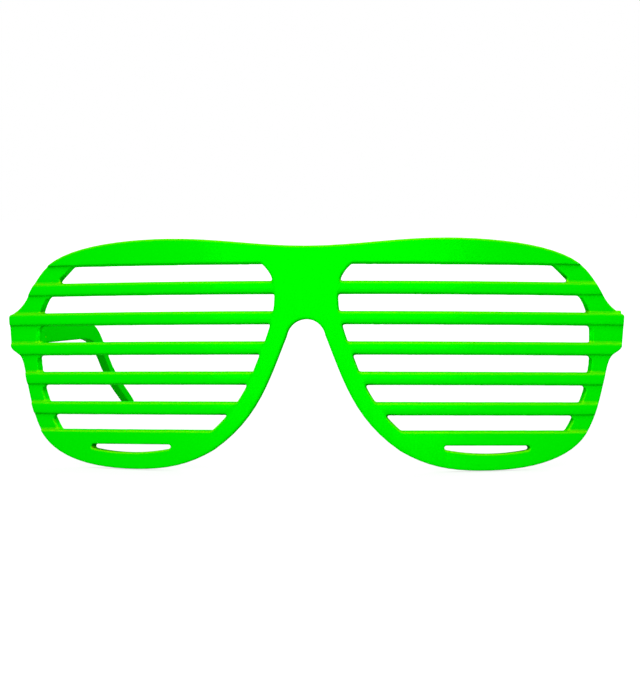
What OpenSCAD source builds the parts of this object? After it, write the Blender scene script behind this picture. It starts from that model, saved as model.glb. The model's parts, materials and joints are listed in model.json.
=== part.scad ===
// Slatted party glasses: one moulded front with slats in place of lenses, and two
// folding temples on pinned hinges. The front faces -Y, +Z is up and the wearer's
// left is +X. Shapes are drawn with the front upright and its lowest point at
// height 0, and in_place() then leans them back until rims and ear tips touch the
// ground, with the origin under the middle of the whole object.

/* [Front] */
// Width of the front across its two end lugs
front_w = 150; // [140:0.5:160]
// Height of the front from the rims' lowest point to the brow's crest
front_h = 54.9; // [52:0.1:58]
// Radius of the front's wrap around the face
wrap_r = 182; // [140:1:260]
// Thickness of the moulding, front to back
plate_t = 3.2; // [2.6:0.1:4.2]
// How far the brow's top edge sinks at the bridge
bridge_dip = 2; // [0.5:0.1:4]
// Brow crest's distance from the middle
crest_x = 33.5; // [28:0.5:38]
// Lowest point of each rim, from the middle
rim_x = 41; // [38:0.5:44]
// Height of the brow above the first slot
brow_h = 6.3; // [5.6:0.1:7.6]

/* [Slats] */
// Number of slats across each eye
slat_n = 5; // [3:1:5]
// Distance from one slat to the next
slat_pitch = 7.15; // [6.6:0.05:7.4]
// Height of a slat at its back
slat_h = 3.3; // [2.6:0.1:4]
// Height of the slot between the brow and the first slat
first_gap = 3.8; // [3:0.1:4.6]
// Draft on a slat's top and bottom faces, front to back
slat_draft = 0.32; // [0.1:0.02:0.5]
// Crown of a slat's front face
slat_crown = 0.22; // [0.1:0.02:0.4]
// How far the slats' crowns sit behind the bridge's face
slat_set = 0.05; // [0.03:0.01:0.2]
// Height of the chin, the band under the last slot
chin_h = 9.5; // [8.5:0.1:10]
// Depth of the side uprights' faces behind the slats
pocket_d = 0.8; // [0.4:0.1:1.2]
// Inner edge of the side uprights, in from the lugs' outer ends
upright_in = 8.5; // [8:0.1:9.6]
// Length of the rounded corners at the slots' ends
slot_corner = 0.9; // [0.4:0.1:1.3]

/* [Nose] */
// Radius of the nose arch
nose_r = 4.7; // [4:0.1:5.5]
// Height of the nose arch's top above the rims' lowest point
nose_top = 35.6; // [34:0.1:37]
// Half angle of the nose arch's round part
nose_a = 68; // [60:1:74]
// Wall between the nose arch's side and the slots' ends above it
bridge_wall = 2.8; // [2:0.1:4]

/* [Chin slot] */
// Length of the crescent slot in each chin
crescent_w = 20.6; // [12:0.2:22]
// Height of the crescent slot at its middle
crescent_h = 1.9; // [1.4:0.1:2.4]
// Radius of the crescent slot's round ends
crescent_r = 0.5; // [0.3:0.05:0.65]
// Height of the crescent slot's flat top edge
crescent_z = 5.9; // [5.2:0.1:6.4]
// Middle of the crescent slot, from the middle of the front
crescent_x = 42.6; // [39:0.2:46]

/* [Hinge] */
// Hinge pin's distance in from the lug's outer end
hinge_in = 6; // [5.6:0.1:6.6]
// Hinge pin's distance behind the lug's rear face
hinge_back = 2.4; // [2.3:0.1:3]
// Radius of the hinge knuckles on the front
ear_r = 2; // [1.8:0.05:2.1]
// Radius of the hinge tongue's knuckle on the temple
tongue_r = 1.9; // [1.7:0.05:2]
// Height of each knuckle on the front
ear_h = 1.9; // [1.5:0.1:2.1]
// Height of the tongue on the temple
tongue_h = 3; // [2.4:0.1:3.4]
// Height of the tongue's middle above the lug's middle
tongue_up = 1.5; // [0.8:0.1:1.8]
// Gap between the tongue and the knuckles, up and down
knuckle_gap = 0.2; // [0.1:0.05:0.3]
// Radius of the hinge pin's shank
pin_r = 0.8; // [0.6:0.05:1]
// Running clearance around the shank
pin_gap = 0.05; // [0.02:0.01:0.09]
// Radius of the pin's head
head_r = 1.4; // [1.2:0.1:1.8]
// Height of the pin's head
head_h = 0.6; // [0.4:0.1:1]
// Material behind the plate at the lug
lug_pad = 0.8; // [0.4:0.1:1.6]

/* [Temple] */
// Thickness of a temple at the hinge
temple_t = 2.8; // [2.2:0.1:3.2]
// Thickness of a temple behind the middle of its length
temple_tail_t = 2.4; // [1.8:0.1:2.8]
// Temple's outer face, in from the lug's outer end
temple_in = 0.6; // [0.4:0.1:0.8]
// Gap between the lug's rear face and the open temple
butt_gap = 0.3; // [0.2:0.05:0.5]
// Height of the temple's top edge above the lug's
temple_up = 0.65; // [0.3:0.05:1]
// Height of a temple at the hinge
temple_h = 8.3; // [7.6:0.1:9]
// Height of a temple where its bend begins
temple_mid_h = 4.9; // [4:0.1:6]
// Length of the straight part behind the hinge pin
straight_l = 72; // [60:1:80]
// Length from the hinge pin to the ear tip
temple_l = 133; // [126:1:140]
// Slope of the ear hook below the straight part
hook_a = 26; // [20:1:30]
// Depth of the hook's centre line below the top edge, at the hook's start
hook_drop = 9.5; // [8.5:0.1:10.5]
// Where the straight hook starts, behind the hinge pin
hook_start = 104; // [100:1:108]
// Width of the hook at its start
hook_w = 3.4; // [2.8:0.1:4]
// Radius of the round ear tip
tip_r = 1.4; // [1.2:0.05:1.6]
// How far the ear tip curves in towards the head
tip_in = 3; // [0:0.5:4]
// Thickness of the hinge pad on the temple's inner face
pad_t = 1.2; // [0.6:0.1:1.5]
// Length of the hinge pad behind the hinge pin
pad_l = 6.5; // [4:0.5:9]

/* [Hidden] */
neon = [0.06, 0.93, 0.05];
steel = [0.75, 0.76, 0.78];
round_fn = 256;
small_fn = 48;
eps = 0.01;
cut_over = 1;
curve_n = 10;
corner_lap = 0.05;
lug_step = 0.4;
lug_lap = 0.1;
tongue_root = 0.4;
pocket_reach = 12;
end_reach = 20;
half_w = front_w / 2;

// Levels of the slats. Slat 0 stands for the brow and slat_n + 1 for the chin
brow_z = front_h - brow_h;
function slat_top(i) = i > slat_n ? chin_h : brow_z - first_gap - (i - 1) * slat_pitch;
function slat_low(i) = i == 0 ? brow_z : slat_top(i) - slat_h;
lug_top = slat_top(2);
lug_low = slat_low(3);

// Depth of the wrapped plate's faces at a distance x from the middle
function face_y(x) = wrap_r - sqrt(pow(wrap_r, 2) - x * x);
function back_y(x) = wrap_r - sqrt(pow(wrap_r - plate_t, 2) - x * x);

// Hinge and temple places
tongue_z = (lug_top + lug_low) / 2 + tongue_up;
temple_top = lug_top + temple_up;
butt_y = back_y(half_w) + lug_pad;
hinge_x = half_w - hinge_in;
hinge_y = butt_y + hinge_back;
outer_x = half_w - temple_in;
inner_x = outer_x - temple_t;
ear_gap_z = tongue_h / 2 + knuckle_gap;
bore_r = pin_r + pin_gap;

// A cubic curve between p0 and p3, steered by p1 and p2, without its last point
function curve(p0, p1, p2, p3, n = curve_n) = [
    for (i = [0 : n - 1]) let (t = i / n, s = 1 - t)
        s * s * s * p0 + 3 * s * s * t * p1 + 3 * s * t * t * p2 + t * t * t * p3
];

// Points of an arc around c, from angle a0 to angle a1
function arc(c, r, a0, a1, n) = [
    for (i = [0 : n]) let (a = a0 + (a1 - a0) * i / n) c + r * [cos(a), sin(a)]
];

// The front's outline on the wearer's left, from the brow's middle round to the nose
brow_mid = [0, front_h - bridge_dip];
brow_crest = [crest_x, front_h];
shoulder = [half_w - 9.2, front_h - 7.1];
neck = [half_w - 4.6, lug_top + 3.2];
lug_corner = [half_w - 0.9, lug_top - 0.2];
lug_side = [half_w, lug_top - 1];
lug_foot = [half_w - 0.6, lug_low + 2.2];
lug_heel = [half_w - 2.7, lug_low + 0.4];
waist = [half_w - 4.3, lug_low - 3.1];
hip = [half_w - 8.4, chin_h + 0.6];
rim_low = [rim_x, 0];
nose_foot = [22.2, 4.6];
nose_c = [0, nose_top - nose_r];
nose_lap = 0.1;
nose_end = nose_c + (nose_r - nose_lap) * [sin(nose_a), cos(nose_a)];
nose_dir = [cos(nose_a), -sin(nose_a)];
half_outline = concat(
    curve(brow_mid, brow_mid + [11.6, 0], brow_crest - [12, 0], brow_crest, 8),
    curve(brow_crest, brow_crest + [12, 0], shoulder + [-5, 5.7], shoulder, 12),
    curve(shoulder, shoulder + [2.3, -2.6], neck + [-1.5, 2.6], neck, 6),
    curve(neck, neck + [1, -1.6], lug_corner + [-1.6, 0.9], lug_corner, 6),
    curve(lug_corner, lug_corner + [0.6, -0.3], lug_side + [0, 0.5], lug_side, 3),
    [lug_side],
    curve(lug_foot, lug_foot - [0.1, 0.7], lug_heel + [0.5, 0.4], lug_heel, 3),
    curve(lug_heel, lug_heel - [0.8, 0.6], waist + [0.3, 1.4], waist, 5),
    curve(waist, waist - [0.9, 3.9], hip + [2.1, 4], hip, 8),
    curve(hip, hip - [3.2, 7], rim_low + [12.8, 0], rim_low, 14),
    curve(rim_low, rim_low - [7.4, 0], nose_foot + [6.2, -3.6], nose_foot, 8),
    curve(nose_foot, nose_foot + [-11, 7.6], nose_end + 12.4 * nose_dir, nose_end, 12),
    [nose_end]
);
function backwards(points) = [for (i = [len(points) - 1 : -1 : 0]) points[i]];
function mirrored(points) = [for (p = backwards(points)) [-p.x, p.y]];

// Ends of the slots, from the brow down: beside the nose and beside the upright
slot_roof = brow_z + slat_draft;
slot_floor = chin_h - slat_draft;
upright_x = half_w - upright_in;
upright_turn = asin(upright_x / (wrap_r - plate_t));
bridge_x = nose_r + bridge_wall;
bridge_end = [bridge_x, slot_roof - 8.4];
rim_turn = [bridge_x + 4.7, nose_top - 11.6];
nose_low = [nose_foot.x + 0.5, slot_floor - 0.2];
nose_side = concat(
    curve([bridge_x + 4.1, slot_roof + 0.6], [bridge_x + 0.3, slot_roof - 2.2],
          [bridge_x - 0.2, slot_roof - 5.1], bridge_end),
    curve(bridge_end, [bridge_x, nose_top - 0.6], [bridge_x + 3, nose_top - 7.1], rim_turn),
    curve(rim_turn, [bridge_x + 7, nose_top - 17.6], [bridge_x + 10, nose_top - 22.1], nose_low),
    [nose_low]
);
upright_top = [upright_x, slot_roof - 16.4];
upright_foot = [upright_x - 6.2, slot_floor - 0.1];
ear_side = concat(
    curve([upright_x - 9.5, slot_roof + 0.3], [upright_x - 5.6, slot_roof - 3.6],
          [upright_x, slot_roof - 8], upright_top),
    curve(upright_top, [upright_x + 0.5, slot_roof - 26.6], [upright_x - 2.3, slot_floor + 6.2],
          upright_foot),
    [upright_foot]
);
function by_height(points) = [for (p = backwards(points)) [p.y, p.x]];
nose_side_at = by_height(nose_side);
ear_side_at = by_height(ear_side);

// The temple's side profile, as distance behind the hinge pin and height
straight_low = temple_top - temple_mid_h;
hinge_low = temple_top - temple_h;
hook_dir = [cos(hook_a), -sin(hook_a)];
hook_up = [sin(hook_a), cos(hook_a)];
hook_from = [hook_start, temple_top - hook_drop];
hook_to = hook_from + (temple_l - tip_r - hook_start) / cos(hook_a) * hook_dir;
butt_d = butt_y + butt_gap - hinge_y;
low_slope = (straight_low - hinge_low) / (straight_l - butt_d);
bend_from = [straight_l + 4, temple_top];
bend_low = [straight_l - 4, straight_low - 4 * low_slope];
temple_side = concat(
    [[butt_d, hinge_low], [butt_d, temple_top]],
    curve(bend_from, bend_from + [14, 0], hook_from + hook_w / 2 * hook_up - 12 * hook_dir,
          hook_from + hook_w / 2 * hook_up),
    [hook_from + hook_w / 2 * hook_up, hook_to + tip_r * hook_up, hook_to - tip_r * hook_up],
    curve(hook_from - hook_w / 2 * hook_up, hook_from - hook_w / 2 * hook_up - 12 * hook_dir,
          bend_low + 14 * [1, low_slope], bend_low),
    [bend_low]
);

// The temple seen from above, as distance from the middle and behind the hinge pin
turn_d = hook_start + 4;
tip_d = temple_l + cut_over;
tail_x = outer_x - temple_tail_t;
temple_plan = concat(
    [[outer_x, butt_d]],
    curve([outer_x, turn_d], [outer_x, turn_d + 10], [outer_x - 0.6 * tip_in, tip_d - 10],
          [outer_x - tip_in, tip_d], 6),
    [[outer_x - tip_in, tip_d]],
    curve([tail_x - tip_in, tip_d], [tail_x - 0.6 * tip_in, tip_d - 10], [tail_x, turn_d + 10],
          [tail_x, turn_d], 6),
    [[tail_x, turn_d], [tail_x, straight_l], [inner_x, pad_l], [inner_x, butt_d]]
);

// How the open glasses lie: leaning back from the rims onto the two ear tips
rim_back = back_y(rim_x);
tip_low = hook_to.y - tip_r;
lean = atan2(tip_low, hinge_y + hook_to.x - rim_back);
tip_height = -(hinge_y + hook_to.x) * sin(lean) + hook_to.y * cos(lean) - tip_r;
rim_height = -rim_back * sin(lean);
lift = -min(tip_height, rim_height);
front_low_y = min([for (p = half_outline) face_y(p.x) * cos(lean) + p.y * sin(lean)]);
rear_y = (hinge_y + hook_to.x) * cos(lean) + hook_to.y * sin(lean) + tip_r;
middle_y = (front_low_y + rear_y) / 2;

module in_place() {
    translate([0, -middle_y, lift]) rotate([-lean, 0, 0]) children();
}

module both_sides() {
    children();
    mirror([1, 0, 0]) children();
}

// Turns a flat shape drawn in x and z into a block from y0 back to y1
module block_y(y0, y1) {
    translate([0, y1, 0]) rotate([90, 0, 0]) linear_extrude(y1 - y0) children();
}

// Turns a flat section, drawn as radius and height, around the wrap's axis
module wrapped() {
    translate([0, wrap_r, 0]) rotate_extrude($fn = round_fn) children();
}

// Section of one slot, between the slat above and the slat below, from radius r0 out
module gap_section(i, r0) {
    back = wrap_r - plate_t;
    slope = slat_draft / plate_t;
    r1 = wrap_r + cut_over;
    up = slat_low(i);
    low = slat_top(i + 1);
    polygon([
        [r0, low - (r0 - back) * slope], [r1, low - (r1 - back) * slope],
        [r1, up + (r1 - back) * slope], [r0, up + (r0 - back) * slope]
    ]);
}

module gap_sections(r0) {
    for (i = [0 : slat_n]) gap_section(i, r0);
}

// What the crown takes off in front of one face, whose middle is at height z
module crown_section(z, half_h) {
    steps = 4;
    polygon(concat(
        [for (k = [-steps : steps]) let (u = k / steps)
            [wrap_r - slat_set - slat_crown * u * u, z + u * half_h]],
        [[wrap_r + cut_over, z + half_h], [wrap_r + cut_over, z - half_h]]
    ));
}

// A rounded corner that fills a slot's end at height z on one of the end curves. It starts
// and ends a little outside the slot, so that its faces cross the slot's faces
module corner_fill(side_at, z, inward, up) {
    c = slot_corner;
    p0 = [lookup(z, side_at), z];
    p1 = p0 + [inward * c, up * corner_lap];
    p2 = [lookup(z - up * c, side_at) - inward * corner_lap, z - up * c];
    polygon([
        p1, (4 * p0 + 4 * p1 + p2) / 9, (4 * p0 + p1 + 4 * p2) / 9, p2,
        p2 - [inward * c, 0], p0 + [-inward * c, up * c], p1 + [0, up * c]
    ]);
}

// What is cut for the slots: their section, ended beside the nose and the upright. The end
// beside the upright is square to the wrap, and corners are left in the slots' ends
module slots() {
    difference() {
        intersection() {
            wrapped() gap_sections(wrap_r - plate_t - cut_over);
            union() {
                block_y(-cut_over, butt_y) polygon(concat(nose_side, backwards(ear_side)));
                translate([upright_x, back_y(upright_x), 0]) rotate([0, 0, upright_turn])
                    block_y(-plate_t - 2 * cut_over, cut_over) end_opening();
            }
        }
        block_y(-2 * cut_over, butt_y + cut_over) {
            for (i = [1 : slat_n]) {
                corner_fill(nose_side_at, slat_low(i) + slat_draft, 1, 1);
                corner_fill(ear_side_at, slat_low(i) + slat_draft, -1, 1);
            }
            corner_fill(nose_side_at, slat_top(1) - slat_draft, 1, -1);
            corner_fill(ear_side_at, slat_top(1) - slat_draft, -1, -1);
        }
    }
}

// The front's outline, before the round arch over the nose is cut
module outline() {
    polygon(concat(half_outline, mirrored(half_outline)));
}

// The slot in a chin, cut square to the wrap: a flat top edge, round ends and a bowed lower edge
module crescent() {
    reach = crescent_w / 2 - crescent_r;
    bow = crescent_h - 2 * crescent_r;
    bow_r = (reach * reach + bow * bow) / (2 * bow);
    bow_a = asin(reach / bow_r);
    translate([crescent_x, face_y(crescent_x), crescent_z])
        rotate([0, 0, asin(crescent_x / wrap_r)])
            block_y(-cut_over, plate_t + cut_over) polygon(concat(
                arc([reach, -crescent_r], crescent_r, 90, -70, 6),
                arc([0, bow_r - crescent_h], bow_r, bow_a - 90, -bow_a - 90, 12),
                arc([-reach, -crescent_r], crescent_r, -110, -270, 6)
            ));
}

// Everything that is cut from the wrapped plate on one side
module side_cuts() {
    slots();
    intersection() {
        wrapped() gap_sections(wrap_r - pocket_d);
        block_y(-cut_over, butt_y) translate([upright_x - pocket_reach, 0])
            square([half_w - upright_x + pocket_reach + cut_over, front_h]);
    }
    intersection() {
        wrapped() for (i = [1 : slat_n]) crown_section((slat_top(i) + slat_low(i)) / 2, slat_h / 2);
        block_y(-cut_over, butt_y) polygon(concat(nose_side, [
            [half_w + cut_over, slot_floor], [half_w + cut_over, slot_roof]
        ]));
    }
    crescent();
}

// The upright's end of the eye opening, seen square to the wrapped plate there
module end_opening() {
    stretch = 1 / cos(upright_turn);
    polygon(concat(
        [for (p = ear_side) [(p.x - upright_x) * stretch, p.y]],
        [[-end_reach * stretch, slot_floor], [-end_reach * stretch, slot_roof]]
    ));
}

// The lug's solid back and the two knuckles that carry the hinge pin
module lug() {
    block_x = upright_x + lug_lap;
    intersection() {
        translate([0, wrap_r, 0])
            cylinder(h = front_h, r = wrap_r - pocket_d - lug_step, $fn = round_fn);
        block_y(face_y(block_x), butt_y) intersection() {
            outline();
            translate([block_x, lug_low + lug_step])
                square([half_w - block_x + cut_over, lug_top - lug_low - 2 * lug_step]);
        }
    }
    for (z = [tongue_z - ear_gap_z - ear_h, tongue_z + ear_gap_z]) {
        translate([hinge_x, hinge_y, z]) cylinder(h = ear_h, r = ear_r, $fn = small_fn);
        translate([hinge_x - ear_r, butt_y - lug_pad, z])
            cube([2 * ear_r, hinge_back + lug_pad, ear_h]);
    }
}

module front_frame() {
    color(neon) in_place() difference() {
        union() {
            difference() {
                intersection() {
                    wrapped() translate([wrap_r - plate_t, -cut_over])
                        square([plate_t, front_h + 2 * cut_over]);
                    block_y(-cut_over, butt_y) outline();
                }
                both_sides() side_cuts();
                translate([0, butt_y, nose_c.y]) rotate([90, 0, 0])
                    cylinder(h = butt_y + cut_over, r = nose_r, $fn = small_fn);
            }
            both_sides() lug();
        }
        both_sides() translate([hinge_x, hinge_y, 0])
            cylinder(h = front_h, r = bore_r, $fn = small_fn);
    }
}

// The wearer's left temple, open
module temple() {
    side_w = temple_t + tip_in + 2 * cut_over;
    difference() {
        union() {
            intersection() {
                translate([0, hinge_y, 0]) linear_extrude(front_h) polygon(temple_plan);
                translate([outer_x + cut_over - side_w, hinge_y, 0]) rotate([90, 0, 90])
                    linear_extrude(side_w) {
                        polygon(temple_side);
                        translate(hook_to) circle(tip_r, $fn = small_fn);
                    }
            }
            translate([0, 0, tongue_z - tongue_h / 2]) {
                translate([hinge_x, hinge_y, 0]) cylinder(h = tongue_h, r = tongue_r, $fn = small_fn);
                translate([hinge_x, hinge_y - tongue_r, 0])
                    cube([inner_x - hinge_x + tongue_root, 2 * tongue_r, tongue_h]);
                translate([inner_x - pad_t, hinge_y, 0]) cube([pad_t + tongue_root, pad_l, tongue_h]);
            }
        }
        translate([hinge_x, hinge_y, 0]) cylinder(h = front_h, r = bore_r, $fn = small_fn);
    }
}

// A hinge pin: its shank and the head that rests on the upper knuckle
module hinge_pin() {
    top = tongue_z + ear_gap_z + ear_h;
    low = tongue_z - ear_gap_z - ear_h;
    translate([hinge_x, hinge_y, 0]) {
        translate([0, 0, low]) cylinder(h = top - low + eps, r = pin_r, $fn = small_fn);
        translate([0, 0, top]) cylinder(h = head_h, r = head_r, $fn = small_fn);
    }
}

module left_temple() {
    color(neon) in_place() temple();
}

module right_temple() {
    color(neon) in_place() mirror([1, 0, 0]) temple();
}

module left_hinge_pin() {
    color(steel) in_place() hinge_pin();
}

module right_hinge_pin() {
    color(steel) in_place() mirror([1, 0, 0]) hinge_pin();
}

front_frame();
right_temple();
left_temple();
right_hinge_pin();
left_hinge_pin();
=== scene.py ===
"""Slatted party glasses in neon plastic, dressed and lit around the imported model.

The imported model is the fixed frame. This script softens its moulded edges, gives every piece
its finish and sets up the camera, the floor and the lights. Lengths are in metres.
"""
import json
import logging
import math
from dataclasses import dataclass, field
from enum import Enum

import bpy
from mathutils import Matrix, Vector

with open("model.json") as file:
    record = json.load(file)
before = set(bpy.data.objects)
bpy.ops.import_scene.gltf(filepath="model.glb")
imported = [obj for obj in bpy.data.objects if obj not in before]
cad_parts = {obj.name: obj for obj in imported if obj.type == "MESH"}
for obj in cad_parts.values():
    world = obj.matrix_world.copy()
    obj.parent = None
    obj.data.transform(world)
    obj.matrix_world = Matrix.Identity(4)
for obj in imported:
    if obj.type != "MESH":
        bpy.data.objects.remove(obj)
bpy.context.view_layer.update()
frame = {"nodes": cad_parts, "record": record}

LOG = logging.getLogger("party_glasses")
MM = 0.001
WELD_REACH = 0.001 * MM
PHOTO_WIDTH_PX = 640
WHITE = (1.0, 1.0, 1.0, 1.0)
NOISE_MIDDLE = 0.5
MIX_FACTOR, MIX_FIRST, MIX_SECOND = 0, 6, 7
MIXED_COLOUR = 2


class Side(Enum):
    """The wearer's side that a temple or a pin is on."""

    RIGHT = "right"
    LEFT = "left"


class Wire:
    """One output socket of a shader, on which Python's operators add Math nodes."""

    def __init__(self, shader: "Shader", socket: bpy.types.NodeSocket | None) -> None:
        """Wraps one of a shader's output sockets, or None for a node that has none."""
        self.shader = shader
        self.socket = socket

    def _math(self, operation: str, left: "Wire | float", right: "Wire | float") -> "Wire":
        """Adds a Math node on two values or wires and returns its output."""
        return self.shader.node("ShaderNodeMath", {"operation": operation}, {0: left, 1: right})

    def __add__(self, other: "Wire | float") -> "Wire":
        """Adds a value or a wire."""
        return self._math("ADD", self, other)

    def __radd__(self, other: float) -> "Wire":
        """Adds this wire to a value."""
        return self._math("ADD", other, self)

    def __sub__(self, other: "Wire | float") -> "Wire":
        """Takes a value or a wire away."""
        return self._math("SUBTRACT", self, other)

    def __rsub__(self, other: float) -> "Wire":
        """Takes this wire away from a value."""
        return self._math("SUBTRACT", other, self)

    def __mul__(self, other: "Wire | float") -> "Wire":
        """Multiplies by a value or a wire."""
        return self._math("MULTIPLY", self, other)

    def __rmul__(self, other: float) -> "Wire":
        """Multiplies a value by this wire."""
        return self._math("MULTIPLY", other, self)

    def clamped(self) -> "Wire":
        """Returns the wire held between 0 and 1."""
        return self.shader.node("ShaderNodeClamp", {}, {"Value": self})


class Shader:
    """A material's node tree, filled through one method."""

    def __init__(self, tree: bpy.types.NodeTree) -> None:
        """Empties a material's or the world's node tree, to fill it anew."""
        self.tree = tree
        self.tree.nodes.clear()

    def node(self, kind: str, settings: dict, inputs: dict, output: str | int = 0) -> Wire:
        """Adds one node of any type.

        Args:
            kind: The node's type.
            settings: Attributes of the node, set before its inputs.
            inputs: Values or wires by socket name or number.
            output: The output socket that is wanted, by name or number.

        Returns:
            The wanted output as a wire.
        """
        made = self.tree.nodes.new(kind)
        for name, value in settings.items():
            setattr(made, name, value)
        for name, value in inputs.items():
            if isinstance(value, Wire):
                self.tree.links.new(value.socket, made.inputs[name])
            else:
                made.inputs[name].default_value = value
        return Wire(self, made.outputs[output] if len(made.outputs) else None)

    def show(self, surface: Wire) -> None:
        """Makes the output of a shader node the material's surface."""
        self.node("ShaderNodeOutputMaterial", {}, {"Surface": surface})

    def mix_colour(self, factor: Wire | float, first: Wire | tuple, second: Wire | tuple) -> Wire:
        """Mixes two colours, where a factor of 0 gives the first and 1 the second."""
        inputs = {MIX_FACTOR: factor, MIX_FIRST: first, MIX_SECOND: second}
        return self.node("ShaderNodeMix", {"data_type": "RGBA"}, inputs, MIXED_COLOUR)

    def background_rays(self) -> Wire:
        """Finds the rays that show the background.

        Returns:
            1 for camera, glossy and transmitted rays, 0 for all others.
        """
        kinds = ("Is Camera Ray", "Is Glossy Ray", "Is Transmission Ray")
        camera, glossy, through = (
            self.node("ShaderNodeLightPath", {}, {}, kind) for kind in kinds
        )
        return (camera + glossy + through).clamped()

    def noise(self, place: Wire, scale: float, detail: float) -> Wire:
        """Makes smooth noise from 0 to 1, of scale waves per metre and detail octaves."""
        inputs = {"Vector": place, "Scale": scale, "Detail": detail}
        return self.node("ShaderNodeTexNoise", {}, inputs)


def new_material(name: str) -> tuple[bpy.types.Material, Shader]:
    """Makes an empty material.

    Args:
        name: The material's name.

    Returns:
        The material and its shader.
    """
    material = bpy.data.materials.new(name)
    material.use_nodes = True
    return material, Shader(material.node_tree)


@dataclass(frozen=True)
class NeonPlastic:
    """Fluorescent plastic with a painted paler, yellower highlight on its upper edges and painted
    shade in its hollows.
    """

    name: str = "neon_plastic"
    colour: tuple = (0.0, 0.9, 0.0, 1.0)
    deep: tuple = (0.0, 0.87, 0.0, 1.0)
    # Painted highlight: the paler, yellower colour laid along upper edges as if lit from above.
    painted_highlight: tuple = (0.38, 1.0, 0.0, 1.0)
    # Painted shade: the darker green laid into corners, gaps and under the slats.
    painted_shade: tuple = (0.0, 0.4, 0.0, 1.0)
    painted_shade_reach: float = 2.5 * MM
    painted_shade_gain: float = 2.0
    painted_shade_samples: int = 8
    sheen_tint: tuple = (0.05, 1.0, 0.02, 1.0)
    gloss: float = 0.0
    dye_gloss: float = 0.05
    roughness: float = 0.2
    roughness_spread: float = 0.08
    edge_radius: float = 0.85 * MM
    edge_samples: int = 6
    edge_gain: float = 8.0
    edge_tilt: float = 0.3
    edge_tilt_gain: float = 2.8
    cloud_scale: float = 45.0
    cloud_detail: float = 3.0
    peel_scale: float = 1400.0
    peel_detail: float = 2.0
    peel_depth: float = 0.004 * MM
    peel_strength: float = 0.25

    def make(self) -> bpy.types.Material:
        """Builds the material.

        Returns:
            The material.
        """
        material, shader = new_material(self.name)
        place = shader.node("ShaderNodeTexCoord", {}, {}, "Object")
        clouds = shader.noise(place, self.cloud_scale, self.cloud_detail)
        peel = shader.noise(place, self.peel_scale, self.peel_detail)
        body = shader.mix_colour(clouds, self.colour, self.deep)
        # Painted shade: the colour darkens where an occlusion mask finds little open surroundings.
        body = shader.mix_colour(self._painted_shade_mask(shader), body, self.painted_shade)
        bump = shader.node("ShaderNodeBump", {}, {
            "Strength": self.peel_strength, "Distance": self.peel_depth, "Height": peel,
        })
        shader.show(shader.node("ShaderNodeBsdfPrincipled", {}, {
            # Painted highlight: upper edges turn paler and yellower in the colour, as if lit from
            # above.
            "Base Color": shader.mix_colour(self._painted_highlight_mask(shader), body, self.painted_highlight),
            "Roughness": (clouds - NOISE_MIDDLE) * self.roughness_spread + self.roughness,
            "Normal": bump,
            "Specular Tint": self.sheen_tint,
            "Specular IOR Level": self.gloss,
            "Metallic": self.dye_gloss,
        }))
        return material

    def _painted_shade_mask(self, shader: Shader) -> Wire:
        """Finds the inner corners and the narrow gaps, where shade is painted darker into the
        colour.

        Args:
            shader: The shader to build in.

        Returns:
            A mask, 1 where little of the surroundings is open.
        """
        settings = {"samples": self.painted_shade_samples, "only_local": True}
        inputs = {"Distance": self.painted_shade_reach}
        open_share = shader.node("ShaderNodeAmbientOcclusion", settings, inputs, "AO")
        return ((1.0 - open_share) * self.painted_shade_gain).clamped()

    def _painted_highlight_mask(self, shader: Shader) -> Wire:
        """Finds the rounded edges that face up, where a highlight is painted paler and yellower
        into the colour.

        Args:
            shader: The shader to build in.

        Returns:
            A mask, 1 on the upper edges.
        """
        settings = {"samples": self.edge_samples}
        rounded = shader.node("ShaderNodeBevel", settings, {"Radius": self.edge_radius})
        true = shader.node("ShaderNodeNewGeometry", {}, {}, "True Normal")
        settings = {"operation": "DOT_PRODUCT"}
        same = shader.node("ShaderNodeVectorMath", settings, {0: rounded, 1: true}, "Value")
        height = shader.node("ShaderNodeSeparateXYZ", {}, {0: rounded}, "Z")
        on_edge = ((1.0 - same) * self.edge_gain).clamped()
        facing_up = ((height - self.edge_tilt) * self.edge_tilt_gain).clamped()
        return on_edge * facing_up


@dataclass(frozen=True)
class PinSteel:
    """Plain bright steel wire, drawn lengthwise."""

    name: str = "pin_steel"
    colour: tuple = (0.72, 0.73, 0.75, 1.0)
    dull: tuple = (0.5, 0.51, 0.53, 1.0)
    roughness: float = 0.26
    roughness_spread: float = 0.2
    grain_scale: float = 2500.0
    grain_detail: float = 3.0
    grain_stretch: float = 0.08

    def make(self) -> bpy.types.Material:
        """Builds the material.

        Returns:
            The material.
        """
        material, shader = new_material(self.name)
        place = shader.node("ShaderNodeTexCoord", {}, {}, "Object")
        stretch = (1.0, 1.0, self.grain_stretch)
        drawn = shader.node("ShaderNodeMapping", {}, {"Vector": place, "Scale": stretch})
        grain = shader.noise(drawn, self.grain_scale, self.grain_detail)
        shader.show(shader.node("ShaderNodeBsdfPrincipled", {}, {
            "Base Color": shader.mix_colour(grain, self.colour, self.dull),
            "Metallic": 1.0,
            "Roughness": (grain - NOISE_MIDDLE) * self.roughness_spread + self.roughness,
        }))
        return material


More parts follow.
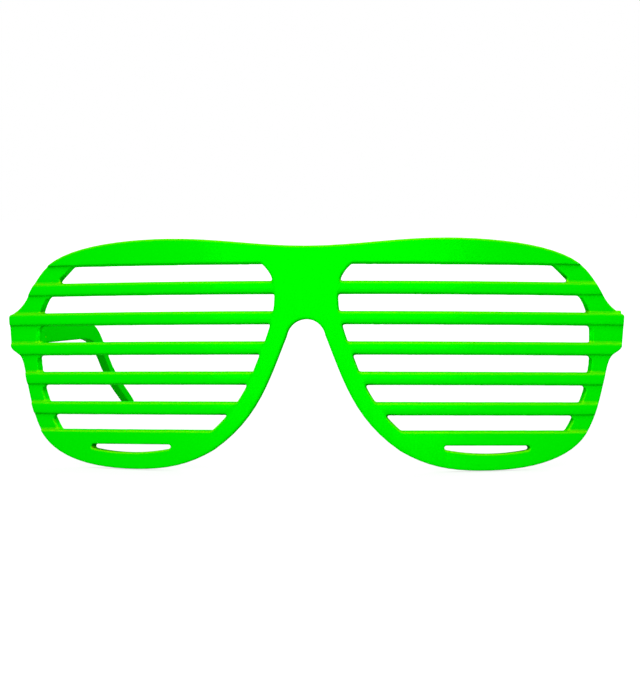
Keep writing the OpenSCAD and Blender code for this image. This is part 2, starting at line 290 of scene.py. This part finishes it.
@dataclass(frozen=True)
class StudioWhite:
    """The white floor, which looks white and on which a shadow still falls.

    Up to the distance near from its middle, the share own_light of what is seen glows and the
    rest is a lit card. From the distance far on, all of it glows. To the light that it throws
    back onto the glasses it is only a card of the tone unseen.
    """

    name: str = "studio_white"
    colour: tuple = (0.9, 0.9, 0.9, 1.0)
    unseen: tuple = (0.28, 0.28, 0.28, 1.0)
    own_light: float = 0.6
    glow: float = 1.3
    near: float = 0.16
    far: float = 0.6

    def make(self) -> bpy.types.Material:
        """Builds the material.

        Returns:
            The material.
        """
        material, shader = new_material(self.name)
        seen = shader.background_rays()
        place = shader.node("ShaderNodeTexCoord", {}, {}, "Object")
        settings = {"operation": "LENGTH"}
        distance = shader.node("ShaderNodeVectorMath", settings, {0: place}, "Value")
        spread = ((distance - self.near) * (1.0 / (self.far - self.near))).clamped()
        share = spread * (1.0 - self.own_light) + self.own_light
        tone = shader.mix_colour(seen, self.unseen, self.colour)
        card = shader.node("ShaderNodeBsdfDiffuse", {}, {"Color": tone})
        light = shader.node("ShaderNodeEmission", {}, {"Color": WHITE, "Strength": self.glow})
        shader.show(shader.node("ShaderNodeMixShader", {}, {0: seen * share, 1: card, 2: light}))
        return material


def add_weld(piece: bpy.types.Object) -> None:
    """Joins a piece's points that lie on each other, so that its faces meet."""
    weld = piece.modifiers.new("weld", "WELD")
    weld.merge_threshold = WELD_REACH


@dataclass
class Softening:
    """How sharply modelled edges become the small radii of a moulding."""

    voxel: float = 0.2 * MM
    smooth_factor: float = 0.6
    smooth_steps: int = 8
    kept_share: float = 0.2

    def apply_to(self, piece: bpy.types.Object) -> None:
        """Adds the modifiers.

        Args:
            piece: The object whose edges are softened.
        """
        add_weld(piece)
        remesh = piece.modifiers.new("even_mesh", "REMESH")
        remesh.mode = "VOXEL"
        remesh.voxel_size = self.voxel
        remesh.use_smooth_shade = True
        smooth = piece.modifiers.new("soft_edges", "SMOOTH")
        smooth.factor = self.smooth_factor
        smooth.iterations = self.smooth_steps
        thin = piece.modifiers.new("fewer_faces", "DECIMATE")
        thin.ratio = self.kept_share


class Moulding:
    """A piece of neon plastic: its node's name and how its edges are softened."""

    node_name: str
    softening: Softening

    def dress(self, material: bpy.types.Material) -> bpy.types.Object:
        """Softens the edges and gives the finish.

        Args:
            material: The plastic.

        Returns:
            The dressed object.
        """
        piece = frame["nodes"][self.node_name]
        self.softening.apply_to(piece)
        set_material(piece, material)
        return piece


@dataclass
class SlattedFront(Moulding):
    """The one-piece front: brow, slats, chins, bridge and end lugs."""

    node_name: str = "front_frame"
    softening: Softening = field(default_factory=Softening)


@dataclass
class Temple(Moulding):
    """One folding temple with its hinge tongue and ear hook."""

    side: Side
    softening: Softening = field(default_factory=Softening)

    @property
    def node_name(self) -> str:
        """Returns the name of the temple's node."""
        return f"{self.side.value}_temple"


@dataclass
class HingePin:
    """The steel pin through one hinge."""

    side: Side
    edge_round: float = 0.12 * MM
    edge_steps: int = 2

    def dress(self, material: bpy.types.Material) -> bpy.types.Object:
        """Breaks the head's edge and gives the finish.

        Args:
            material: The steel.

        Returns:
            The dressed object.
        """
        piece = frame["nodes"][f"{self.side.value}_hinge_pin"]
        add_weld(piece)
        bevel = piece.modifiers.new("broken_edge", "BEVEL")
        bevel.width = self.edge_round
        bevel.segments = self.edge_steps
        bevel.limit_method = "ANGLE"
        set_material(piece, material)
        return piece


def set_material(piece: bpy.types.Object, material: bpy.types.Material) -> None:
    """Puts one material on a whole piece.

    Args:
        piece: The object.
        material: The material.
    """
    if not piece.material_slots:
        piece.data.materials.append(material)
    for slot in piece.material_slots:
        slot.material = material


@dataclass(frozen=True)
class PhotoCamera:
    """The camera, placed by its angles to the leaning front and its distance from it.

    It aims at a point beside the nose saddle: right is the picture's right, forward the way
    that the wearer looks, and down runs along the leaning front.
    """

    azimuth: float = math.radians(5.5)
    elevation: float = math.radians(-1.2)
    roll: float = math.radians(0.12)
    distance: float = 514 * MM
    focal_px: float = 2190.0
    sensor_mm: float = 36.0
    aim_right: float = 3.43 * MM
    aim_forward: float = 1.6 * MM
    aim_down: float = 2.6 * MM
    clip_near: float = 10 * MM
    clip_far: float = 50.0

    def make(self) -> None:
        """Creates the camera and makes it the scene's."""
        mounts = frame["record"]["mounts"]
        saddle = next(mount for mount in mounts if mount["name"] == "nose_saddle")
        back = Vector(saddle["axis"]).normalized()
        right = Vector((1.0, 0.0, 0.0))
        up = right.cross(back)
        aim = (
            Vector(saddle["pos_m"])
            + right * self.aim_right
            - back * self.aim_forward
            - up * self.aim_down
        )
        level = math.cos(self.elevation)
        towards_eye = (
            right * math.sin(self.azimuth) * level
            - back * math.cos(self.azimuth) * level
            + up * math.sin(self.elevation)
        )
        data = bpy.data.cameras.new("photo_camera")
        data.sensor_fit = "HORIZONTAL"
        data.sensor_width = self.sensor_mm
        data.lens = self.focal_px * self.sensor_mm / PHOTO_WIDTH_PX
        data.clip_start = self.clip_near
        data.clip_end = self.clip_far
        camera = bpy.data.objects.new("photo_camera", data)
        bpy.context.scene.collection.objects.link(camera)
        look = -towards_eye
        side = look.cross(up).normalized()
        top = side.cross(look)
        turn = Matrix((side, top, -look)).transposed().to_4x4()
        place = Matrix.Translation(aim + towards_eye * self.distance)
        camera.matrix_world = place @ turn @ Matrix.Rotation(self.roll, 4, "Z")
        bpy.context.scene.camera = camera


@dataclass(frozen=True)
class Lamp:
    """One soft square lamp, with its power in watts."""

    name: str
    place: tuple
    size: float
    power: float

    def make(self, aim: Vector) -> None:
        """Creates the lamp.

        Args:
            aim: The point that it shines at.
        """
        data = bpy.data.lights.new(self.name, "AREA")
        data.size = self.size
        data.energy = self.power
        lamp = bpy.data.objects.new(self.name, data)
        bpy.context.scene.collection.objects.link(lamp)
        lamp.location = self.place
        lamp.rotation_euler = (aim - Vector(self.place)).to_track_quat("-Z", "Y").to_euler()


@dataclass(frozen=True)
class Studio:
    """White floor, white surroundings and soft lamps."""

    floor_size: float = 8.0
    lamp_aim: tuple = (0.0, 0.0, 0.02)
    ambient: float = 0.44
    key: Lamp = Lamp("key_lamp", place=(0.0, -0.56, 0.27), size=0.5, power=2.4)
    fill: Lamp = Lamp("fill_lamp", place=(0.4, 0.6, 0.75), size=0.8, power=6.0)

    def make(self, floor_material: bpy.types.Material) -> None:
        """Builds the floor, the world and the lamps.

        Args:
            floor_material: The floor's material.
        """
        half = self.floor_size / 2
        mesh = bpy.data.meshes.new("floor")
        corners = [(-half, -half, 0), (half, -half, 0), (half, half, 0), (-half, half, 0)]
        mesh.from_pydata(corners, [], [tuple(range(len(corners)))])
        floor = bpy.data.objects.new("floor", mesh)
        bpy.context.scene.collection.objects.link(floor)
        set_material(floor, floor_material)
        for lamp in (self.key, self.fill):
            lamp.make(Vector(self.lamp_aim))
        self._make_world()

    def _make_world(self) -> None:
        """Makes surroundings that are white to look at and in reflections, and dimmer as light."""
        world = bpy.data.worlds.new("studio_world")
        world.use_nodes = True
        bpy.context.scene.world = world
        shader = Shader(world.node_tree)
        seen = shader.background_rays()
        strength = seen * (1.0 - self.ambient) + self.ambient
        inputs = {"Color": WHITE, "Strength": strength}
        background = shader.node("ShaderNodeBackground", {}, inputs)
        shader.node("ShaderNodeOutputWorld", {}, {"Surface": background})


def main() -> None:
    """Dresses the glasses and sets up camera and studio."""
    logging.basicConfig(level=logging.INFO, format="%(name)s: %(message)s")
    bpy.context.scene.view_settings.view_transform = "Standard"
    PhotoCamera().make()
    plastic = NeonPlastic().make()
    steel = PinSteel().make()
    dressed = [SlattedFront().dress(plastic)]
    for side in Side:
        dressed.append(Temple(side).dress(plastic))
        dressed.append(HingePin(side).dress(steel))
    for piece in dressed:
        LOG.info("dressed %s", piece.name)
    Studio().make(StudioWhite().make())


if __name__ == "__main__":
    main()
